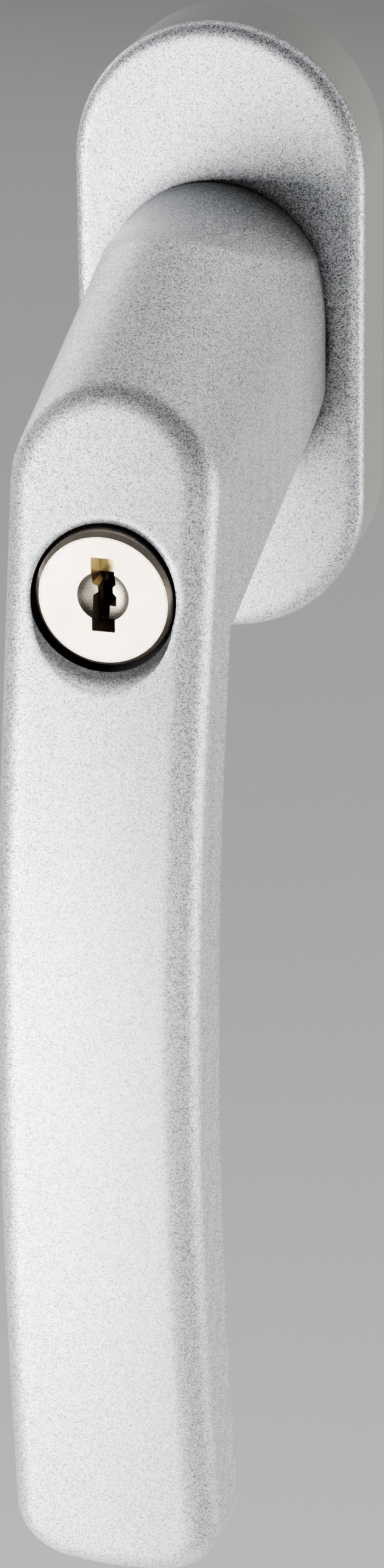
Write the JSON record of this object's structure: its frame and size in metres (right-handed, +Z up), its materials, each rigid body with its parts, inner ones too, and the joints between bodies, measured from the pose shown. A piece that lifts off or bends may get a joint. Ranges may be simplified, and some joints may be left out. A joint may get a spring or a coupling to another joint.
{
  "type": "locking window handle",
  "caption": "Key-locked tilt-and-turn window handle: stadium rosette, bowed lever on a square spindle, cylinder lock in the head driving a bolt into the rosette.",
  "frame": {"origin": "on the spindle's axis, in the rosette's mounting face, midway between the two fixing screws", "axes": "+Z up along the rosette, the grip hangs down at rest; +Y into the window along the spindle; -Y faces the user; +X to the user's right"},
  "size_m": [0.035, 0.1056, 0.1773],
  "materials": {
    "silver_lacquer": "fine silver lacquer, satin",
    "base_polymer": "moulded grey-beige",
    "bearing_polymer": "moulded dark grey",
    "zinc_steel": "zinc plated",
    "spring_steel": "tempered, oiled",
    "nickel": "satin nickel plate",
    "brass": "stamped",
    "cast_zinc": "die cast, dull"
  },
  "bodies": {
    "rosette": {"base_plate": "base_polymer", "lock_ring": "zinc_steel", "collar_bush": "bearing_polymer", "spring_carrier": "bearing_polymer", "index_spring_left": "spring_steel", "index_spring_right": "spring_steel", "back_plate": "zinc_steel", "plate_screws": "zinc_steel"},
    "cover": {"rosette_cover": "silver_lacquer"},
    "handle": {"lever": "silver_lacquer", "spindle": "zinc_steel", "spindle_pin": "zinc_steel", "index_hub": "zinc_steel", "collar_circlip": "spring_steel", "lock_barrel": "nickel", "barrel_pin": "zinc_steel"},
    "plug": {"lock_plug": "nickel", "wafer_1": "brass", "wafer_2": "brass", "wafer_3": "brass", "wafer_4": "brass", "wafer_5": "brass", "plug_circlip": "spring_steel", "cam_sleeve": "cast_zinc", "cam_screw": "zinc_steel"},
    "bolt": {"bolt_slider": "cast_zinc", "lock_bolt": "zinc_steel", "follower_pin": "zinc_steel"}
  },
  "joints": [
    {"name": "lever_turn", "type": "hinge", "parent": "rosette", "child": "handle", "pos_m": [0, 0, 0], "axis": [0, -1, 0], "continuous": true, "deforming": ["index_spring_left", "index_spring_right"]},
    {"name": "cover_turn", "type": "hinge", "parent": "rosette", "child": "cover", "pos_m": [0, 0, 0], "axis": [0, -1, 0], "range_deg": [-90, 90]},
    {"name": "plug_turn", "type": "hinge", "parent": "handle", "child": "plug", "pos_m": [0, -0.05, -0.0143], "axis": [0, 1, 0], "range_deg": [0, 90]},
    {"name": "bolt_slide", "type": "slide", "parent": "handle", "child": "bolt", "axis": [0, 1, 0], "range_m": [0, 0.006]}
  ],
  "couplings": [
    {"joint": "bolt_slide", "follows": "plug_turn", "m_per_rad": 0.0038197}
  ]
}
